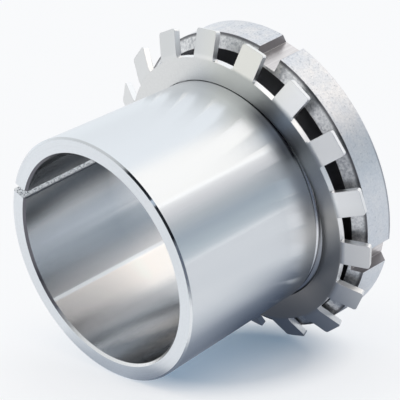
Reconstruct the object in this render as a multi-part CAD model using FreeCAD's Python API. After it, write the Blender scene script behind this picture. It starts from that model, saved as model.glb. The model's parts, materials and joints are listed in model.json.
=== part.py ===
import FreeCAD, Part
import math
import os

# Bearing adapter sleeve with its lock nut and tabbed lock washer, in millimetres.
# Each piece is drawn about the sleeve's own axis: Z runs from the sleeve's large end to its
# threaded end, and X points to the middle of the slit. The last step lays the set down.

Vector = FreeCAD.Vector
AXIS = Vector(0, 0, 1)

# Split tapered sleeve
BORE_R = 27.5
THREAD_R = 30.0
SLEEVE_LENGTH = 62.0
TAPER_LENGTH = 44.3
TAPER_PER_LENGTH = 1.0 / 12.0
SHOULDER = 0.15
RIM_CHAMFER = 0.5
BORE_CHAMFER = 0.6
RELIEF_DEPTH = 1.3
RELIEF_LENGTH = 2.0
THREAD_CHAMFER = 1.2
SLIT_WIDTH = 2.5
KEYWAY_CLEARANCE = 0.2
KEYWAY_CUTTER_R = 12.0

LARGE_R = THREAD_R + SHOULDER + TAPER_LENGTH * TAPER_PER_LENGTH / 2
THREAD_START = TAPER_LENGTH + RELIEF_LENGTH

# The washer's ring is as wide as the nut's flat face
FACE_R = 36.5

# Lock washer, stamped from sheet
SHEET = 1.5
WASHER_CLEARANCE = 0.4
TAB_COUNT = 17
TAB_WIDTH = 6.8
TAB_TIP_R = 43.2
TAB_BEND = 27.0
TAB_CORNER_R = 0.7
BEND_INSIDE_R = 1.5
BEND_INSET = 0.3
KEY_WIDTH = 8.0
KEY_SHAFT_CLEARANCE = 0.7
WASHER_TILT = 4.0
WASHER_OFFSET = 1.4

WASHER_Z = TAPER_LENGTH + WASHER_OFFSET

# Lock nut
NUT_R = 40.0
NUT_HEIGHT = 12.0
NUT_CHAMFER_ANGLE = 30.0
NUT_BORE_CLEARANCE = 0.04
NUT_BORE_CHAMFER = 1.0
NUT_SLOTS = 4
NUT_SLOT_WIDTH = 7.0
NUT_SLOT_DEPTH = 3.0
NUT_ANGLE = -4.9
NUT_WASHER_CLEARANCE = 0.45

# The set lies on two neighbouring tabs and the large end's rim
TAB_STEP = 360.0 / TAB_COUNT
FLOOR_TAB_COUNT = 11
DOWN_ANGLE = (FLOOR_TAB_COUNT + 0.5) * TAB_STEP

BEYOND = 5.0


def turned(points):
    """A solid of revolution about the axis, from (radius, height) points."""
    corners = [Vector(radius, 0, height) for radius, height in points]
    outline = Part.makePolygon(corners + corners[:1])
    return Part.Face(outline).revolve(Vector(0, 0, 0), AXIS, 360)


def block(x_from, x_to, width, z_from, z_to):
    """A box that is centred on the XZ plane."""
    corner = Vector(x_from, -width / 2, z_from)
    return Part.makeBox(x_to - x_from, width, z_to - z_from, corner)


def around_axis(shape, angle):
    """A copy of the shape, turned about the axis by an angle in degrees."""
    copy = shape.copy()
    copy.rotate(Vector(0, 0, 0), AXIS, angle)
    return copy


def make_sleeve():
    """The taper, the relief behind it and the threaded end, bored, slit and keyed."""
    taper_end_r = THREAD_R + SHOULDER
    relief_r = THREAD_R - RELIEF_DEPTH
    rim_r = LARGE_R - RIM_CHAMFER * TAPER_PER_LENGTH / 2
    edge = taper_end_r - relief_r
    body = turned([
        (BORE_R + BORE_CHAMFER, 0),
        (LARGE_R - RIM_CHAMFER, 0),
        (rim_r, RIM_CHAMFER),
        (taper_end_r, TAPER_LENGTH),
        (relief_r, TAPER_LENGTH + edge / 4),
        (relief_r, THREAD_START - RELIEF_DEPTH),
        (THREAD_R, THREAD_START),
        (THREAD_R, SLEEVE_LENGTH - THREAD_CHAMFER),
        (THREAD_R - THREAD_CHAMFER, SLEEVE_LENGTH),
        (BORE_R + BORE_CHAMFER, SLEEVE_LENGTH),
        (BORE_R, SLEEVE_LENGTH - BORE_CHAMFER),
        (BORE_R, BORE_CHAMFER),
    ])
    outside = LARGE_R + BEYOND
    slit = block(0, outside, SLIT_WIDTH, -BEYOND, SLEEVE_LENGTH + BEYOND)
    return body.cut(slit).cut(keyway_cutter())


def keyway_cutter():
    """The widened end of the slit, with the round run-out that a milling disc leaves."""
    width = KEY_WIDTH + 2 * KEYWAY_CLEARANCE
    floor_r = BORE_R - KEY_SHAFT_CLEARANCE
    groove = block(floor_r, LARGE_R + BEYOND, width, THREAD_START, SLEEVE_LENGTH + BEYOND)
    centre = Vector(floor_r + KEYWAY_CUTTER_R, -width / 2, THREAD_START)
    disc = Part.makeCylinder(KEYWAY_CUTTER_R, width, centre, Vector(0, 1, 0))
    return groove.fuse(disc)


def make_tab():
    """One outer tab along X: a strip from inside the ring, bent towards the nut."""
    bend = math.radians(TAB_BEND)
    bend_r = FACE_R - BEND_INSET
    centre = Vector(bend_r, 0, SHEET + BEND_INSIDE_R)
    outer_r = BEND_INSIDE_R + SHEET
    along = Vector(math.cos(bend), 0, math.sin(bend))

    def on_arc(radius, angle):
        return centre + Vector(math.sin(angle), 0, -math.cos(angle)) * radius

    front_start = Vector(FACE_R - SHEET, 0, 0)
    back_start = front_start + AXIS * SHEET
    front = [on_arc(outer_r, bend * share) for share in (0, 0.5, 1)]
    back = [on_arc(BEND_INSIDE_R, bend * share) for share in (1, 0.5, 0)]
    straight = (TAB_TIP_R - front[2].x) / along.x
    front_tip = front[2] + along * straight
    back_tip = back[0] + along * straight
    outline = Part.Wire([
        Part.makeLine(front_start, front[0]),
        Part.Arc(*front).toShape(),
        Part.makeLine(front[2], front_tip),
        Part.makeLine(front_tip, back_tip),
        Part.makeLine(back_tip, back[0]),
        Part.Arc(*back).toShape(),
        Part.makeLine(back[2], back_start),
        Part.makeLine(back_start, front_start),
    ])
    profile = Part.Face(outline)
    profile.translate(Vector(0, -TAB_WIDTH / 2, 0))
    strip = profile.extrude(Vector(0, TAB_WIDTH, 0))
    tip_middle_x = (front_tip.x + back_tip.x) / 2
    corners = [
        edge for edge in strip.Edges
        if abs(edge.CenterOfMass.x - tip_middle_x) < SHEET / 10
        and abs(abs(edge.CenterOfMass.y) - TAB_WIDTH / 2) < SHEET / 10
    ]
    return strip.makeFillet(TAB_CORNER_R, corners)


def make_washer():
    """The flat ring with its outer tabs and the inner key that sits in the keyway."""
    bore_r = THREAD_R + WASHER_CLEARANCE
    ring = turned([
        (bore_r, 0),
        (FACE_R, 0),
        (FACE_R, SHEET),
        (bore_r, SHEET),
    ])
    key = block(BORE_R + KEY_SHAFT_CLEARANCE, bore_r + SHEET, KEY_WIDTH, 0, SHEET)
    tab = make_tab()
    tabs = [around_axis(tab, TAB_STEP * index) for index in range(TAB_COUNT)]
    return ring.multiFuse([key] + tabs).removeSplitter()


def make_nut():
    """The round nut, bevelled on both faces, with spanner slots along its rim."""
    bevel = (NUT_R - FACE_R) * math.tan(math.radians(NUT_CHAMFER_ANGLE))
    bore_r = THREAD_R + NUT_BORE_CLEARANCE
    body = turned([
        (bore_r, NUT_BORE_CHAMFER),
        (bore_r + NUT_BORE_CHAMFER, 0),
        (FACE_R, 0),
        (NUT_R, bevel),
        (NUT_R, NUT_HEIGHT - bevel),
        (FACE_R, NUT_HEIGHT),
        (bore_r + NUT_BORE_CHAMFER, NUT_HEIGHT),
        (bore_r, NUT_HEIGHT - NUT_BORE_CHAMFER),
    ])
    slot = block(
        NUT_R - NUT_SLOT_DEPTH, NUT_R + BEYOND, NUT_SLOT_WIDTH, -BEYOND, NUT_HEIGHT + BEYOND
    )
    for index in range(NUT_SLOTS):
        body = body.cut(around_axis(slot, 360.0 / NUT_SLOTS * index))
    return body


def nut_height_on_axis():
    """The nut's front face stands just behind the point where the washer leans back most."""
    tilt = math.radians(WASHER_TILT)
    washer_back = WASHER_Z + FACE_R * math.sin(tilt) + SHEET * math.cos(tilt)
    return washer_back + NUT_WASHER_CLEARANCE


def tab_contact():
    """How far below the axis, and how far along it, the two lowest tabs touch the floor."""
    bend = math.radians(TAB_BEND)
    tilt = math.radians(WASHER_TILT)
    aside = math.radians(TAB_STEP / 2)
    outer_r = BEND_INSIDE_R + SHEET
    bend_end_r = FACE_R - BEND_INSET + outer_r * math.sin(bend)
    rise = outer_r * (1 - math.cos(bend)) + (TAB_TIP_R - bend_end_r) * math.tan(bend)
    reach = (TAB_TIP_R - TAB_CORNER_R) * math.cos(aside)
    reach += (TAB_WIDTH / 2 - TAB_CORNER_R) * math.sin(aside) + TAB_CORNER_R
    below = reach * math.cos(tilt) - rise * math.sin(tilt)
    along = WASHER_Z + reach * math.sin(tilt) + rise * math.cos(tilt)
    return below, along


def lay_down(shapes):
    """Turn two tabs to the floor, lean the set on them and the rim, and put it on Z = 0."""
    rim_below = LARGE_R - RIM_CHAMFER * TAPER_PER_LENGTH / 2
    tab_below, tab_along = tab_contact()
    lean = math.degrees(math.atan2(tab_below - rim_below, tab_along - RIM_CHAMFER))
    turn_down = FreeCAD.Rotation(AXIS, -DOWN_ANGLE)
    tip_over = FreeCAD.Rotation(Vector(0, 1, 0), 90 - lean)
    laid = FreeCAD.Placement(Vector(0, 0, 0), tip_over * turn_down)
    for shape in shapes.values():
        shape.transformShape(laid.toMatrix())
    box = Part.makeCompound(list(shapes.values())).optimalBoundingBox(False, False)
    to_origin = Vector(-box.Center.x, -box.Center.y, -box.ZMin)
    for shape in shapes.values():
        shape.translate(to_origin)


sleeve = make_sleeve()

lock_washer = make_washer()
down = around_axis(Part.Vertex(1, 0, 0), DOWN_ANGLE).Point
lock_washer.rotate(Vector(0, 0, 0), down.cross(AXIS), WASHER_TILT)
lock_washer.translate(AXIS * WASHER_Z)

lock_nut = around_axis(make_nut(), NUT_ANGLE)
lock_nut.translate(AXIS * nut_height_on_axis())

nodes = {"sleeve": sleeve, "lock_washer": lock_washer, "lock_nut": lock_nut}
lay_down(nodes)
os.makedirs("parts", exist_ok=True)
for name, shape in nodes.items():
    shape.exportStep("parts/" + name + ".step")
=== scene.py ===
import json
import math

import bmesh
import bpy
from mathutils import Matrix, Vector


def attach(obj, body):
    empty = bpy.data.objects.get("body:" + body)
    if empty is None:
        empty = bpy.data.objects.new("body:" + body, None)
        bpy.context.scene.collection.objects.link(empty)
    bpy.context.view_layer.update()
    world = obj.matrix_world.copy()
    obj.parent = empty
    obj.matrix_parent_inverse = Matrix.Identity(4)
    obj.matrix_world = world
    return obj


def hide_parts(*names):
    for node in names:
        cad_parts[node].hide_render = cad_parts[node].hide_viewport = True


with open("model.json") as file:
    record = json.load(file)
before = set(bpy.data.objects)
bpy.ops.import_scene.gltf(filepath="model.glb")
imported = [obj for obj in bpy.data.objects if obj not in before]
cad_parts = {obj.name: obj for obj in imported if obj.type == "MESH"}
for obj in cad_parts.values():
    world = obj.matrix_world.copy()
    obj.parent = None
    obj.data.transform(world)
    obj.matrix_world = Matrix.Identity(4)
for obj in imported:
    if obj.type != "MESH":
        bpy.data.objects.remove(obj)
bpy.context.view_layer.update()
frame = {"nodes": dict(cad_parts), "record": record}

# Sizes in metres, as in the part's source
MM = 0.001
SLEEVE_LENGTH = 62 * MM
TAPER_LENGTH = 44.3 * MM
RELIEF_LENGTH = 2 * MM
BORE_R = 27.5 * MM
THREAD_R = 30 * MM
THREAD_START = TAPER_LENGTH + RELIEF_LENGTH
NUT_R = 40 * MM
NUT_CHAMFER = 2.02 * MM
NUT_BORE_CHAMFER = 1 * MM
NUT_CLEARANCE = 0.04 * MM
RING_R = 36 * MM

# The metric thread, 60 x 2
PITCH = 2 * MM
THREAD_DEPTH = 1.227 * MM
NUT_THREAD_DEPTH = 1.05 * MM
FLANK = math.tan(math.radians(30))
CREST = PITCH / 8
RIDGE_TIP = PITCH / 4
STEPS_PER_TURN = 72

# How far the threads' cutter and ridge reach past the crests
OVERLAP = 0.15 * MM

# Camera, matched to the photograph: metres, degrees, and millimetres for the lens and the sensor
CAMERA_PLACE = Vector((-0.43697, -0.47605, 0.21798))
CAMERA_HEADING = 47.296
CAMERA_PITCH = -15.36
CAMERA_ROLL = -0.505
LENS = 243.0
SENSOR = 36

# The sleeve's axis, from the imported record
mounts = {mount["name"]: mount for mount in frame["record"]["mounts"]}
shaft_bore = mounts["shaft_bore"]
AXIS = -Vector(shaft_bore["axis"]).normalized()
ORIGIN = Vector(shaft_bore["pos_m"]) - AXIS * SLEEVE_LENGTH / 2
SIDE = AXIS.cross(Vector((0, 0, 1))).normalized()
UPWARD = SIDE.cross(AXIS).normalized()

# The nut's ends, along the axis
nut_places = [(vertex.co - ORIGIN).dot(AXIS) for vertex in frame["nodes"]["lock_nut"].data.vertices]
nut_start, nut_end = min(nut_places), max(nut_places)


def direction(angle):
    """A unit vector square to the axis, turned in radians from straight up towards SIDE."""
    return UPWARD * math.cos(angle) + SIDE * math.sin(angle)


def new_object(name, mesh):
    piece = bpy.data.objects.new(name, mesh)
    bpy.context.scene.collection.objects.link(piece)
    return piece


def new_sheet(name, across, deep, height):
    """A level rectangle, from its two X and two Y values."""
    (left, right), (front, back) = across, deep
    corners = [(left, front, height), (right, front, height), (right, back, height), (left, back, height)]
    mesh = bpy.data.meshes.new(name)
    mesh.from_pydata(corners, [], [(0, 1, 2, 3)])
    return new_object(name, mesh)


def rgba(color):
    """A colour's socket as it is, and three numbers with full opacity."""
    return color if isinstance(color, bpy.types.NodeSocket) else (*color, 1)


class Graph:
    """Adds nodes to a node tree and links them; a value is a number, a vector or another node's socket."""

    def __init__(self, tree):
        self.nodes = tree.nodes
        self.links = tree.links

    def feed(self, socket, value):
        if isinstance(value, bpy.types.NodeSocket):
            self.links.new(value, socket)
        else:
            socket.default_value = value

    def add(self, kind, *values, **settings):
        node = self.nodes.new(kind)
        for name, value in settings.items():
            setattr(node, name, value)
        for socket, value in zip(node.inputs, values):
            self.feed(socket, value)
        return node

    def math(self, operation, *values):
        return self.add("ShaderNodeMath", *values, operation=operation).outputs[0]

    def vector(self, operation, *values):
        node = self.add("ShaderNodeVectorMath", *values, operation=operation)
        return node.outputs["Value" if operation in ("DOT_PRODUCT", "LENGTH") else "Vector"]

    def scaled(self, vector, factor):
        node = self.add("ShaderNodeVectorMath", vector, operation="SCALE")
        self.feed(node.inputs["Scale"], factor)
        return node.outputs["Vector"]

    def noise(self, vector, size, detail=2.0, roughness=0.5):
        """Noise from 0 to 1, with marks about as wide as size."""
        node = self.add("ShaderNodeTexNoise")
        self.feed(node.inputs["Vector"], vector)
        node.inputs["Scale"].default_value = 1 / size
        node.inputs["Detail"].default_value = detail
        node.inputs["Roughness"].default_value = roughness
        return node.outputs["Fac"]

    def ramp(self, factor, stops):
        node = self.add("ShaderNodeValToRGB", factor)
        elements = node.color_ramp.elements
        while len(elements) < len(stops):
            elements.new(0.5)
        for element, (position, color) in zip(elements, stops):
            element.position = position
            element.color = (*color, 1)
        return node.outputs["Color"]

    def span(self, value, low, high, to_low=0.0, to_high=1.0):
        node = self.add("ShaderNodeMapRange", value, low, high, to_low, to_high)
        return node.outputs["Result"]

    def fall(self, value, low, high):
        """From 1 at low to 0 at high."""
        return self.span(value, low, high, 1.0, 0.0)

    def both(self, first, second):
        return self.math("MULTIPLY", first, second)

    def mix(self, factor, first, second):
        return self.add("ShaderNodeMixRGB", factor, rgba(first), rgba(second)).outputs["Color"]


class Finish(Graph):
    """A node material. Its textures lie in the sleeve's frame: along, round and out from the axis."""

    def __init__(self, name):
        self.material = bpy.data.materials.new(name)
        self.material.use_nodes = True
        super().__init__(self.material.node_tree)

    def surface(self, shader):
        self.feed(self.nodes["Material Output"].inputs["Surface"], shader)

    def place(self):
        """Along the axis, the vector from the axis, and the normal."""
        texture = self.add("ShaderNodeTexCoord")
        offset = self.vector("SUBTRACT", texture.outputs["Object"], ORIGIN)
        along = self.vector("DOT_PRODUCT", offset, AXIS)
        outward = self.vector("SUBTRACT", offset, self.scaled(AXIS, along))
        return along, outward, texture.outputs["Normal"]

    def turned(self, outward, middle):
        """Degrees round the axis from a middle angle, which is given from straight up towards SIDE."""
        middle = math.radians(middle)
        ahead = self.vector("DOT_PRODUCT", outward, direction(middle))
        aside = self.vector("DOT_PRODUCT", outward, direction(middle + math.pi / 2))
        return self.math("DEGREES", self.math("ARCTAN2", aside, ahead))


# How fast the marks of facing change round the axis, against their change outward
RING_STRETCH = 0.02


class Steel(Finish):
    """Bare steel. Its reflections can be drawn out across marks round the axis, and its edges rounded."""

    def __init__(self, name, roughness, anisotropic=0.0, edge=0.0):
        super().__init__(name)
        self.shader = self.nodes["Principled BSDF"]
        self.shader.inputs["Metallic"].default_value = 1.0
        self.shader.inputs["Roughness"].default_value = roughness
        self.shader.inputs["Anisotropic"].default_value = anisotropic
        self.along, self.outward, self.normal = self.place()
        self.radius = self.vector("LENGTH", self.outward)
        self.lean = self.vector("DOT_PRODUCT", self.normal, AXIS)
        self.facing_out = self.vector("DOT_PRODUCT", self.normal, self.vector("NORMALIZE", self.outward))
        if anisotropic:
            round_axis = self.vector("CROSS_PRODUCT", AXIS, self.outward)
            across = self.vector("NORMALIZE", self.vector("CROSS_PRODUCT", round_axis, self.normal))
            world = self.add("ShaderNodeVectorTransform", across, vector_type="VECTOR",
                             convert_from="OBJECT", convert_to="WORLD")
            self.feed(self.shader.inputs["Tangent"], world.outputs[0])
        self.edge = None
        if edge:
            self.edge = self.add("ShaderNodeBevel", edge, samples=6).outputs[0]
            self.feed(self.shader.inputs["Normal"], self.edge)

    def streaks(self, size, stretch):
        """Noise drawn out along the axis."""
        drawn = self.scaled(AXIS, self.both(self.along, stretch))
        return self.noise(self.vector("ADD", self.outward, drawn), size)

    def rings(self, size):
        """Noise drawn out round the axis, as a turning tool leaves."""
        rings = self.add("ShaderNodeCombineXYZ", self.along, self.radius).outputs[0]
        drawn = self.scaled(self.outward, RING_STRETCH)
        return self.noise(self.vector("ADD", rings, drawn), size)

    def grain(self, size, detail=3.0):
        vector = self.vector("ADD", self.outward, self.scaled(AXIS, self.along))
        return self.noise(vector, size, detail, 0.6)

    def from_angle(self, middle):
        """Degrees from a middle angle, to either side."""
        return self.math("ABSOLUTE", self.turned(self.outward, middle))

    def sector(self, middle, inner, outer):
        """From 1 within inner degrees of a middle angle to 0 at outer degrees from it."""
        return self.fall(self.from_angle(middle), inner, outer)

    def shades(self, factor, dark, light):
        return self.ramp(factor, ((0.3, dark), (0.7, light)))

    def paint(self, color):
        self.feed(self.shader.inputs["Base Color"], rgba(color))

    def gloss(self, factor, low, high):
        self.feed(self.shader.inputs["Roughness"], self.span(factor, 0.3, 0.7, low, high))

    def bump(self, height, depth):
        node = self.add("ShaderNodeBump")
        node.inputs["Strength"].default_value = 1.0
        node.inputs["Distance"].default_value = depth
        self.feed(node.inputs["Height"], height)
        if self.edge:
            self.feed(node.inputs["Normal"], self.edge)
        self.feed(self.shader.inputs["Normal"], node.outputs[0])


def ground_steel():
    """The taper: fine streaks along it, painted shade and light by the washer, and painted shade on part
    of the rim's chamfer.
    """
    steel = Steel("ground", roughness=0.18, anisotropic=1.0, edge=0.12 * MM)
    color = steel.shades(steel.streaks(0.25 * MM, 0.01), (0.785, 0.81, 0.835), (0.80, 0.825, 0.85))

    # Painted shade next to the washer on top, and darker still round one angle
    on_top = steel.sector(15, 45, 53)
    washer_painted_shade = steel.both(on_top, steel.span(steel.along, TAPER_LENGTH - 5 * MM, TAPER_LENGTH - 2 * MM))
    from_darkest = steel.from_angle(46)
    washer_painted_shade = steel.both(washer_painted_shade, steel.span(from_darkest, 10, 20, 1.0, 0.3))
    color = steel.mix(washer_painted_shade, color, (0.30, 0.31, 0.34))
    # Painted shade along the taper's last edge on top, by the gap under the washer
    last_edge = steel.span(steel.along, TAPER_LENGTH - 0.9 * MM, TAPER_LENGTH - 0.5 * MM)
    color = steel.mix(steel.both(on_top, last_edge), color, (0.05, 0.05, 0.06))

    # Painted light next to the washer at one side
    last_stretch = steel.span(steel.along, TAPER_LENGTH - 10 * MM, TAPER_LENGTH - 4 * MM)
    color = steel.mix(steel.both(steel.sector(84, 16, 24), last_stretch), color, (0.98, 0.99, 1.00))

    # Painted shade on the chamfer of the rim, on both sides of a glint
    rim = steel.fall(steel.lean, -0.55, -0.45)
    from_glint = steel.from_angle(50)
    unlit = steel.both(steel.fall(from_glint, 17, 21), steel.span(from_glint, 1.0, 2.0))
    steel.paint(steel.mix(steel.both(rim, unlit), color, (0.05, 0.06, 0.07)))
    return steel


def faced_steel():
    """The flat ends: rings from facing, with dull grains."""
    steel = Steel("faced", roughness=0.3, anisotropic=0.8, edge=0.12 * MM)
    rings = steel.shades(steel.rings(0.2 * MM), (0.745, 0.785, 0.825), (0.80, 0.84, 0.88))
    dull = steel.span(steel.grain(0.4 * MM), 0.3, 0.7, 0.35, 0.0)
    steel.paint(steel.mix(dull, rings, (0.62, 0.64, 0.67)))
    return steel


# Painted reflections in bands along the bore: (degrees from straight up, tone at the mouth, tone deeper
# in, warmth)
BORE_REFLECTION_TONES = (
    (-200, 0.62, 0.45, -0.02),
    (-192, 0.50, 0.12, -0.03),
    (-186, 0.36, 0.06, 0.00),
    (-180, 0.56, 0.13, 0.00),
    (-174, 0.80, 0.20, 0.00),
    (-167, 0.98, 0.35, -0.03),
    (-160, 1.00, 0.46, -0.03),
    (-150, 0.46, 0.66, 0.00),
    (-144, 0.34, 0.97, 0.025),
    (-138, 0.62, 1.00, 0.04),
    (-127.6, 0.72, 1.00, 0.04),
    (-126.8, 1.00, 1.00, -0.04),
    (-125.6, 1.00, 1.00, -0.04),
    (-124.8, 0.44, 0.68, -0.02),
    (-114, 0.34, 0.54, -0.06),
    (-104, 0.54, 0.48, -0.09),
    (-96, 0.62, 0.62, -0.08),
    (-86, 0.56, 0.47, -0.08),
    (-78, 0.42, 0.26, -0.07),
    (-70, 0.30, 0.16, -0.08),
    (-50, 0.15, 0.07, -0.07),
    (-38, 0.48, 0.40, -0.04),
)
BORE_MIDDLE = -120
BORE_REACH = 90
BANDS_END = 28 * MM
BANDS_GONE = 1.6 * BANDS_END


def bored_steel():
    """The bore: bands of painted reflection along it that fade out towards the thread, and a chamfer at
    the mouth with a painted highlight low down and painted shade elsewhere.
    """
    steel = Steel("bored", roughness=0.18, anisotropic=1.0)
    round_bore = steel.span(steel.turned(steel.outward, BORE_MIDDLE), -BORE_REACH, BORE_REACH)

    def painted_reflection_bands(column):
        stops = []
        for row in BORE_REFLECTION_TONES:
            tone, warmth = row[column], row[-1]
            position = (row[0] - BORE_MIDDLE) / BORE_REACH / 2 + 0.5
            stops.append((position, (tone * (1 + warmth), tone, tone * (1 - warmth))))
        return steel.ramp(round_bore, stops)

    plain = steel.shades(steel.streaks(0.4 * MM, 0.02), (0.78, 0.78, 0.79), (0.82, 0.82, 0.83))
    painted_reflections = steel.mix(steel.span(steel.along, 0.0, BANDS_END), painted_reflection_bands(1), painted_reflection_bands(2))
    within = steel.both(steel.span(round_bore, 0.0, 0.04), steel.fall(round_bore, 0.96, 1.0))
    within = steel.both(within, steel.fall(steel.along, BANDS_END, BANDS_GONE))
    # The mouth's chamfer: a painted highlight low down, painted shade elsewhere
    chamfer = steel.fall(steel.lean, -0.5, -0.4)
    chamfer_highlight_and_shade = steel.mix(steel.sector(170, 45, 60), (0.14, 0.14, 0.16), (1.00, 1.00, 1.00))
    steel.paint(steel.mix(chamfer, steel.mix(within, plain, painted_reflections), chamfer_highlight_and_shade))
    return steel


def sawn_steel():
    """The slit's walls: torn and speckled, with painted shade on the lip by the bore and painted light
    where they face down.
    """
    steel = Steel("sawn", roughness=0.5)
    torn = steel.grain(0.35 * MM, 4.0)
    speckled = steel.ramp(torn, ((0.38, (0.12, 0.14, 0.17)), (0.52, (0.98, 0.99, 1.00))))
    # Painted shade on the lip by the bore
    beyond_lip = steel.span(steel.radius, BORE_R + 0.4 * MM, BORE_R + 0.8 * MM)
    wall = steel.mix(beyond_lip, (0.10, 0.11, 0.13), speckled)
    # Painted light on the walls that face down
    underside = steel.fall(steel.vector("DOT_PRODUCT", steel.normal, UPWARD), -0.1, 0.1)
    steel.paint(steel.mix(underside, wall, (0.95, 0.97, 0.99)))
    steel.bump(torn, 0.3 * MM)
    return steel


def threaded_steel():
    """The thread, plain and half bright."""
    steel = Steel("threaded", roughness=0.3, anisotropic=0.5)
    steel.paint((0.78, 0.78, 0.79))
    return steel


def sheet_steel():
    """The washer: rolled sheet, with painted light on the tabs, painted highlights on its cut edges and
    painted shade low down.
    """
    steel = Steel("sheet", roughness=0.31, edge=0.18 * MM)
    color = steel.shades(steel.grain(0.5 * MM), (0.69, 0.70, 0.70), (0.74, 0.75, 0.75))
    tabs = steel.span(steel.radius, RING_R, RING_R + MM)
    # Painted light and shade by side, for the ring and the tabs
    tab_painted_light = steel.mix(steel.sector(90, 50, 110), (0.72, 0.73, 0.73), (0.90, 0.91, 0.92))
    color = steel.mix(tabs, color, tab_painted_light)
    color = steel.mix(steel.sector(20, 10, 24), color, (0.85, 0.845, 0.79))
    low_painted_shade = steel.mix(tabs, (0.73, 0.67, 0.60), (0.74, 0.735, 0.73))
    color = steel.mix(steel.sector(140, 40, 55), color, low_painted_shade)
    # Painted shade on one stretch of the ring, inside the tabs
    ring_painted_shade = steel.both(steel.sector(110, 18, 34), steel.fall(tabs, 0.0, 1.0))
    color = steel.mix(ring_painted_shade, color, (0.40, 0.39, 0.38))
    # Painted highlights on the cut edges
    cut_edge = steel.fall(steel.math("ABSOLUTE", steel.lean), 0.3, 0.5)
    steel.paint(steel.mix(cut_edge, color, (0.94, 0.94, 0.94)))
    steel.gloss(steel.grain(0.3 * MM), 0.28, 0.34)
    return steel


def satin_steel():
    """The nut: mottled outside, scaly on its front chamfer, milled in its slots and turned on its back,
    with painted shade on one side, along its far edge, in its slots and on its front face.
    """
    steel = Steel("satin", roughness=0.38, edge=0.25 * MM)
    mottled = steel.shades(steel.grain(0.55 * MM, 4.0), (0.56, 0.58, 0.62), (0.94, 0.93, 0.93))
    cloudy = steel.ramp(steel.grain(4 * MM, 4.0), ((0.38, (0.66, 0.69, 0.74)), (0.62, (0.86, 0.84, 0.83))))
    specks = steel.ramp(steel.grain(0.6 * MM, 4.0), ((0.28, (0.62, 0.64, 0.67)), (0.44, (1.0, 1.0, 1.0))))
    color = steel.vector("MULTIPLY", steel.mix(0.5, mottled, cloudy), specks)
    # Painted shade on one side, bluer and greyer
    color = steel.mix(steel.both(steel.sector(110, 30, 60), 0.5), color, (0.70, 0.75, 0.81))

    # Painted shade, a dark line along one stretch of the far edge
    rim_end = nut_end - NUT_CHAMFER
    far_edge = steel.span(steel.along, rim_end - 0.6 * MM, rim_end - 0.2 * MM)
    far_edge = steel.both(far_edge, steel.span(steel.facing_out, 0.94, 0.97))
    color = steel.mix(steel.both(far_edge, steel.sector(88, 14, 24)), color, (0.36, 0.38, 0.42))

    # Marks of the cutter on the slots' floors
    slot_floor = steel.fall(steel.radius, NUT_R - 1.6 * MM, NUT_R - 1.2 * MM)
    slot_floor = steel.both(slot_floor, steel.span(steel.facing_out, 0.7, 0.9))
    cutter_marks = steel.streaks(0.5 * MM, 0.05)
    cutter_marks = steel.ramp(cutter_marks, ((0.35, (0.72, 0.685, 0.68)), (0.65, (0.84, 0.81, 0.80))))
    color = steel.mix(slot_floor, color, cutter_marks)

    # Scale on the front chamfer, with a dark line round its outer edge
    scale = steel.ramp(steel.grain(0.8 * MM, 4.0), ((0.36, (0.56, 0.57, 0.59)), (0.6, (0.92, 0.92, 0.92))))
    outer_dark_line = steel.span(steel.radius, NUT_R - 0.9 * MM, NUT_R - 0.4 * MM)
    scale = steel.mix(outer_dark_line, scale, (0.20, 0.20, 0.21))
    color = steel.mix(steel.fall(steel.lean, -0.7, -0.6), color, scale)

    # Rings of facing on the back
    faced_back = steel.shades(steel.rings(0.25 * MM), (0.70, 0.71, 0.73), (0.80, 0.80, 0.81))
    color = steel.mix(steel.span(steel.lean, 0.6, 0.7), color, faced_back)

    # Painted shade on the slots' walls and on the front face behind the washer
    slot_wall_painted_shade = steel.fall(steel.both(steel.facing_out, steel.facing_out), 0.1, 0.2)
    slot_wall_painted_shade = steel.both(slot_wall_painted_shade, steel.fall(steel.math("ABSOLUTE", steel.lean), 0.1, 0.2))
    color = steel.mix(slot_wall_painted_shade, color, (0.27, 0.26, 0.27))
    front_face_painted_shade = steel.fall(steel.lean, -0.95, -0.9)
    steel.paint(steel.mix(front_face_painted_shade, color, (0.10, 0.10, 0.11)))
    steel.gloss(steel.grain(0.5 * MM), 0.32, 0.42)
    return steel


def relief_steel():
    """The groove between taper and thread: painted shade, with a painted highlight line where it lies
    open.
    """
    steel = Steel("relief", roughness=0.25)
    # Painted shade with a painted highlight line across the groove, on the open side; painted shade
    # elsewhere
    highlight_lines = steel.ramp(steel.span(steel.along, TAPER_LENGTH, THREAD_START), (
        (0.50, (0.05, 0.05, 0.06)),
        (0.60, (0.97, 0.97, 0.98)),
        (0.70, (0.97, 0.97, 0.98)),
        (0.80, (0.06, 0.06, 0.07)),
        (1.00, (0.70, 0.71, 0.73)),
    ))
    steel.paint(steel.mix(steel.sector(95, 35, 50), (0.10, 0.10, 0.11), highlight_lines))
    return steel


ground = ground_steel()
faced = faced_steel()
bored = bored_steel()
sawn = sawn_steel()
threaded = threaded_steel()
sheet = sheet_steel()
satin = satin_steel()
relief = relief_steel()


def dress(node, finish):
    """One finish all over a node."""
    piece = frame["nodes"][node]
    piece.data.materials.clear()
    piece.data.materials.append(finish.material)


dress("lock_washer", sheet)
dress("lock_nut", satin)


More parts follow.
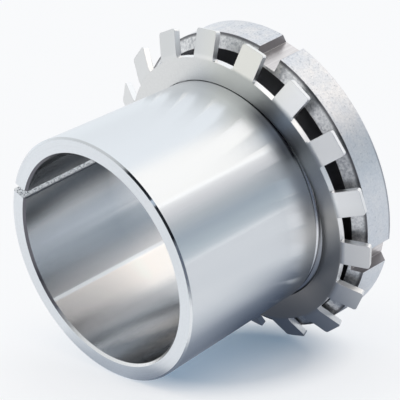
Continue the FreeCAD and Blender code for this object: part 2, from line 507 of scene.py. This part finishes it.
def screw(name, profile, start, end, limit=None):
    """A closed ridge wound round the axis; the profile has (radius, offset along the axis) points."""
    mesh = bmesh.new()
    turns = (end - start) / PITCH
    steps = round(turns * STEPS_PER_TURN)
    loops = []
    for step in range(steps + 1):
        middle = start + (end - start) * step / steps
        outward = direction(middle / PITCH * 2 * math.pi)
        loop = []
        for radius, offset in profile:
            along = middle + offset
            if limit:
                radius = limit(radius, along)
            loop.append(mesh.verts.new(ORIGIN + AXIS * along + outward * radius))
        loops.append(loop)
    for first, second in zip(loops, loops[1:]):
        for index in range(len(profile)):
            after = (index + 1) % len(profile)
            mesh.faces.new((first[index], first[after], second[after], second[index]))
    mesh.faces.new(loops[0])
    mesh.faces.new(reversed(loops[-1]))
    bmesh.ops.recalc_face_normals(mesh, faces=mesh.faces)
    data = bpy.data.meshes.new(name)
    mesh.to_mesh(data)
    mesh.free()
    return new_object(name, data)


def cut_thread(piece):
    """Takes the thread's groove out of a piece."""
    root = THREAD_R - THREAD_DEPTH
    outside = THREAD_R + OVERLAP
    half_root = (PITCH - CREST) / 2 - THREAD_DEPTH * FLANK
    half_outside = half_root + (outside - root) * FLANK
    profile = ((root, -half_root), (root, half_root), (outside, half_outside), (outside, -half_outside))
    cutter = screw("groove", profile, THREAD_START - PITCH / 2, SLEEVE_LENGTH + PITCH)
    boolean = piece.modifiers.new("thread", "BOOLEAN")
    boolean.operation = "DIFFERENCE"
    boolean.solver = "EXACT"
    boolean.object = cutter
    graph = bpy.context.evaluated_depsgraph_get()
    mesh = bpy.data.meshes.new_from_object(piece.evaluated_get(graph))
    piece.modifiers.clear()
    piece.data = mesh
    bpy.data.objects.remove(cutter)


# Shares of a face's normal: in a plane through the axis if it is turned, along the axis if it is flat
TURNED = 0.97
FLAT = 0.9

# A corner takes the exact normal where that is this near to the face's own, as a cosine
SMOOTH = 0.96
CREST_SLACK = 0.05 * MM
WELD = 0.001 * MM


def finish_faces(mesh, finishes):
    """Gives each face its finish, and turned faces the exact normals of a turned surface."""
    mesh.materials.clear()
    for finish in finishes:
        mesh.materials.append(finish.material)
    normals = []
    for face in mesh.polygons:
        along = (face.center - ORIGIN).dot(AXIS)
        outward = face.center - ORIGIN - AXIS * along
        lean = face.normal.dot(AXIS)
        out = face.normal.dot(outward.normalized())
        turned = math.hypot(lean, out) > TURNED
        if not turned:
            face.material_index = finishes.index(sawn)
        elif out < -0.5:
            face.material_index = finishes.index(bored)
        elif abs(lean) > FLAT and not THREAD_START < along < SLEEVE_LENGTH - MM:
            face.material_index = finishes.index(faced)
        elif TAPER_LENGTH < along < THREAD_START:
            face.material_index = finishes.index(relief)
        elif along > TAPER_LENGTH and outward.length < THREAD_R + CREST_SLACK:
            face.material_index = finishes.index(threaded)
        else:
            face.material_index = finishes.index(ground)
        steep = math.copysign(math.sqrt(max(0.0, 1 - lean * lean)), out)
        for vertex in face.vertices:
            offset = mesh.vertices[vertex].co - ORIGIN
            spoke = (offset - AXIS * offset.dot(AXIS)).normalized()
            exact = (AXIS * lean + spoke * steep).normalized()
            normals.append(exact if turned and exact.dot(face.normal) > SMOOTH else face.normal)
    mesh.normals_split_custom_set(normals)


# The sleeve with its thread cut
threaded_sleeve = new_object("threaded_sleeve", frame["nodes"]["sleeve"].data.copy())
shape = bmesh.new()
shape.from_mesh(threaded_sleeve.data)
bmesh.ops.remove_doubles(shape, verts=shape.verts, dist=WELD)
shape.to_mesh(threaded_sleeve.data)
shape.free()
cut_thread(threaded_sleeve)
finish_faces(threaded_sleeve.data, [ground, faced, bored, sawn, threaded, relief])
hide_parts("sleeve")
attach(threaded_sleeve, "sleeve")

# The nut's own thread, between the turns of the sleeve's
mouth = THREAD_R + NUT_CLEARANCE + NUT_BORE_CHAMFER


def nut_limit(radius, along):
    """Keeps the ridge outside the chamfers at both ends of the nut's bore."""
    return max(radius, mouth - (along - nut_start), mouth - (nut_end - along))


tip = THREAD_R - NUT_THREAD_DEPTH
base = THREAD_R + OVERLAP
half_tip = RIDGE_TIP / 2 - NUT_CLEARANCE
half_base = half_tip + (base - tip) * FLANK
ridge = ((tip, -half_tip), (tip, half_tip), (base, half_base), (base, -half_base))
nut_thread = screw("nut_thread", ridge, nut_start + PITCH / 2, nut_end - PITCH / 2, nut_limit)
nut_thread.data.materials.append(satin.material)
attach(nut_thread, "lock_nut")


# Floor: its shading fades into plain white: (metres from the shadow's middle, strength of the shading)
FLOOR_HALF = 6
FLOOR_COLOR = (0.935, 0.95, 0.96)
FLOOR_WHITE = (0.945, 0.955, 0.97)
SHADOW_MIDDLE = Vector((5 * MM, -8 * MM, 0))
SHADOW_STRETCH = Vector((1, 1.15, 0))
SHADOW_REACH = 80 * MM
SHADOW_FADE = ((20 * MM, 1.0), (34 * MM, 0.36), (50 * MM, 0.36), (SHADOW_REACH, 0.08))
floor = new_sheet("floor", (-FLOOR_HALF, FLOOR_HALF), (-FLOOR_HALF, FLOOR_HALF), 0)
matt = Finish("floor")
matt_shader = matt.nodes["Principled BSDF"]
matt.feed(matt_shader.inputs["Base Color"], rgba(FLOOR_COLOR))
matt.feed(matt_shader.inputs["Roughness"], 1.0)
matt.feed(matt_shader.inputs["Specular IOR Level"], 0.0)
from_middle = matt.vector("SUBTRACT", matt.add("ShaderNodeTexCoord").outputs["Object"], SHADOW_MIDDLE)
from_middle = matt.vector("LENGTH", matt.vector("MULTIPLY", from_middle, SHADOW_STRETCH))
stops = [(reach / SHADOW_REACH, (strength,) * 3) for reach, strength in SHADOW_FADE]
shadow = matt.ramp(matt.span(from_middle, 0.0, SHADOW_REACH), stops)
white = matt.add("ShaderNodeEmission", rgba(FLOOR_WHITE))
matt.surface(matt.add("ShaderNodeMixShader", shadow, white.outputs[0], matt_shader.outputs[0]).outputs[0])
floor.data.materials.append(matt.material)

# Tents of graded light round the axis, seen only in the steel: (degrees from straight up, colour)
TENT_R = 1.0
TENT_EDGE = 98
TENT_STEP = 4
TENT_FAR = 2.5
TENT_NEAR = -1.45
FAR_TONES = (
    (-98, (0.94, 0.98, 1.02)),
    (-74, (0.96, 1.00, 1.03)),
    (-63, (0.92, 0.95, 0.98)),
    (-20, (0.98, 1.01, 1.04)),
    (-2, (1.00, 1.03, 1.06)),
    (10, (1.24, 1.21, 1.17)),
    (42.5, (1.21, 1.18, 1.14)),
    (43.2, (1.42, 1.40, 1.38)),
    (44.4, (1.42, 1.40, 1.38)),
    (45.2, (0.97, 0.96, 0.95)),
    (52, (0.82, 0.81, 0.82)),
    (65, (0.54, 0.57, 0.60)),
    (77, (0.41, 0.47, 0.53)),
    (90, (0.52, 0.58, 0.63)),
    (98, (0.62, 0.67, 0.71)),
)
NEAR_TONES = (
    (-98, (0.95, 0.97, 0.99)),
    (-50, (0.68, 0.70, 0.71)),
    (-20, (0.66, 0.68, 0.69)),
    (-5, (0.44, 0.46, 0.47)),
    (12, (0.05, 0.06, 0.07)),
    (28, (0.08, 0.10, 0.13)),
    (34, (0.40, 0.55, 0.74)),
    (42, (0.08, 0.10, 0.13)),
    (60, (0.04, 0.05, 0.06)),
    (75, (0.16, 0.18, 0.20)),
    (98, (0.16, 0.18, 0.21)),
)


def hide_stage(piece, glow, color):
    """Makes a piece of the stage glow with a colour, and shows it only in reflections."""
    glow.surface(glow.add("ShaderNodeEmission", color).outputs[0])
    piece.data.materials.append(glow.material)
    piece.visible_camera = False
    piece.visible_diffuse = False
    piece.visible_shadow = False


def tent(name, start, end, tones):
    vertices = []
    for degrees in range(-TENT_EDGE, TENT_EDGE + 1, TENT_STEP):
        outward = direction(math.radians(degrees)) * TENT_R
        vertices += [ORIGIN + AXIS * start + outward, ORIGIN + AXIS * end + outward]
    faces = [(i, i + 1, i + 3, i + 2) for i in range(0, len(vertices) - 2, 2)]
    mesh = bpy.data.meshes.new(name)
    mesh.from_pydata(vertices, [], faces)
    piece = new_object(name, mesh)
    glow = Finish(name)
    turned = glow.span(glow.turned(glow.place()[1], 0), -TENT_EDGE, TENT_EDGE)
    stops = [((degrees / TENT_EDGE + 1) / 2, color) for degrees, color in tones]
    hide_stage(piece, glow, glow.ramp(turned, stops))


tent("far_tent", 0.0, TENT_FAR, FAR_TONES)
tent("near_tent", TENT_NEAR, 0.0, NEAR_TONES)

# Glowing sheets on the floor, seen only in the steel, as a painted reflection of the floor's light and
# shade: (metres across, tones from the sleeve's end on)
FLOOR_REFLECTION_TONES = (
    (-0.160, 0.84, 0.84, 0.80),
    (-0.065, 0.84, 0.84, 0.76),
    (-0.052, 0.80, 0.80, 0.62),
    (-0.041, 0.68, 0.68, 0.42),
    (-0.033, 0.53, 0.50, 0.22),
    (-0.026, 0.30, 0.22, 0.10),
    (-0.014, 0.19, 0.11, 0.06),
    (-0.007, 0.32, 0.09, 0.06),
    (0.000, 0.50, 0.07, 0.07),
    (0.030, 0.50, 0.12, 0.12),
)
MAT_CHANGES = (-0.006, 0.020)
MAT_BLEND = 0.02
MAT_LEFT = -0.031
MAT_RIGHT = 0.046
MAT_FAR = 2
ASIDE_RIGHT = -0.010
BEFORE_LEFT = -0.160
MAT_HEIGHT = MM / 5
ASIDE_HEIGHT = MM / 4
ASIDE_TONES = ((-0.160, 0.12), (-0.070, 0.12), (-0.055, 0.60))
BEYOND_TONES = ((-0.160, 0.80), (-0.050, 0.76), (0.100, 0.90))
BEFORE_TONES = ((-0.160, 0.98), (0.000, 0.93), (0.120, 0.98))


def cool(tone):
    """A grey that turns bluer as it darkens."""
    return tone ** 1.1, tone, tone ** 0.85


def lay_floor_reflection(name, left, right, height, tones, changes=()):
    """A glowing sheet of painted floor reflection, graded across; at each change along the object it takes
    the next column of its tones.
    """
    front, back = tones[0][0], tones[-1][0]
    piece = new_sheet(name, (left, right), (-MAT_FAR, back), height)
    glow = Finish(name)
    place = glow.add("ShaderNodeSeparateXYZ", glow.add("ShaderNodeTexCoord").outputs["Object"])
    across = glow.span(place.outputs["Y"], front, back)

    def graded(column):
        stops = [((row[0] - front) / (back - front), cool(row[column])) for row in tones]
        return glow.ramp(across, stops)

    color = graded(1)
    for column, change in enumerate(changes, 2):
        beyond = glow.span(place.outputs["X"], change, change + MAT_BLEND)
        color = glow.mix(beyond, color, graded(column))
    hide_stage(piece, glow, color)


lay_floor_reflection("floor_reflection", MAT_LEFT, MAT_RIGHT, MAT_HEIGHT, FLOOR_REFLECTION_TONES, MAT_CHANGES)
lay_floor_reflection("floor_reflection_aside", -MAT_FAR, ASIDE_RIGHT, ASIDE_HEIGHT, ASIDE_TONES)
lay_floor_reflection("floor_reflection_beyond", MAT_RIGHT, MAT_FAR, MAT_HEIGHT, BEYOND_TONES)
lay_floor_reflection("floor_reflection_before", BEFORE_LEFT, MAT_LEFT, MAT_HEIGHT, BEFORE_TONES)

# A room that shows white and lights the floor, a soft warm lamp, and a blue fill without shadows
ROOM_WHITE = (0.95, 0.96, 0.975)
ROOM_LIGHT = (0.974, 0.888, 0.820)
SUN_WIDTH = 35
world = bpy.data.worlds.new("studio")
bpy.context.scene.world = world
world.use_nodes = True
studio = Graph(world.node_tree)
rays = studio.add("ShaderNodeLightPath").outputs
shown = studio.math("MAXIMUM", rays["Is Camera Ray"], rays["Is Glossy Ray"])
shown = studio.math("MAXIMUM", shown, rays["Is Transmission Ray"])
studio.feed(studio.nodes["Background"].inputs["Color"], studio.mix(shown, ROOM_LIGHT, ROOM_WHITE))


def sun(name, energy, color, toward, shadow):
    """A soft lamp for the floor alone, since the steel only shows what glossy rays meet."""
    data = bpy.data.lights.new(name, "SUN")
    data.energy = energy
    data.color = color
    data.angle = math.radians(SUN_WIDTH)
    data.use_shadow = shadow
    lamp = bpy.data.objects.new(name, data)
    bpy.context.scene.collection.objects.link(lamp)
    lamp.rotation_euler = Vector(toward).to_track_quat("Z", "Y").to_euler()
    lamp.visible_glossy = False


sun("lamp", energy=0.20, color=(1.0, 0.60, 0.25), toward=(-0.4, -0.3, 1.0), shadow=True)
sun("fill", energy=0.56, color=(0.0, 0.5, 1.0), toward=(0.0, 0.0, 1.0), shadow=False)

# Camera
camera_data = bpy.data.cameras.new("camera")
camera_data.lens = LENS
camera_data.sensor_width = SENSOR
camera_data.clip_start = 0.01
camera_data.clip_end = 50
camera = bpy.data.objects.new("camera", camera_data)
bpy.context.scene.collection.objects.link(camera)
turn = Matrix.Rotation(math.radians(CAMERA_HEADING - 90), 4, "Z")
nod = Matrix.Rotation(math.radians(90 + CAMERA_PITCH), 4, "X")
roll = Matrix.Rotation(math.radians(CAMERA_ROLL), 4, "Z")
camera.matrix_world = Matrix.Translation(CAMERA_PLACE) @ turn @ nod @ roll
bpy.context.scene.camera = camera
bpy.context.scene.view_settings.view_transform = "Standard"
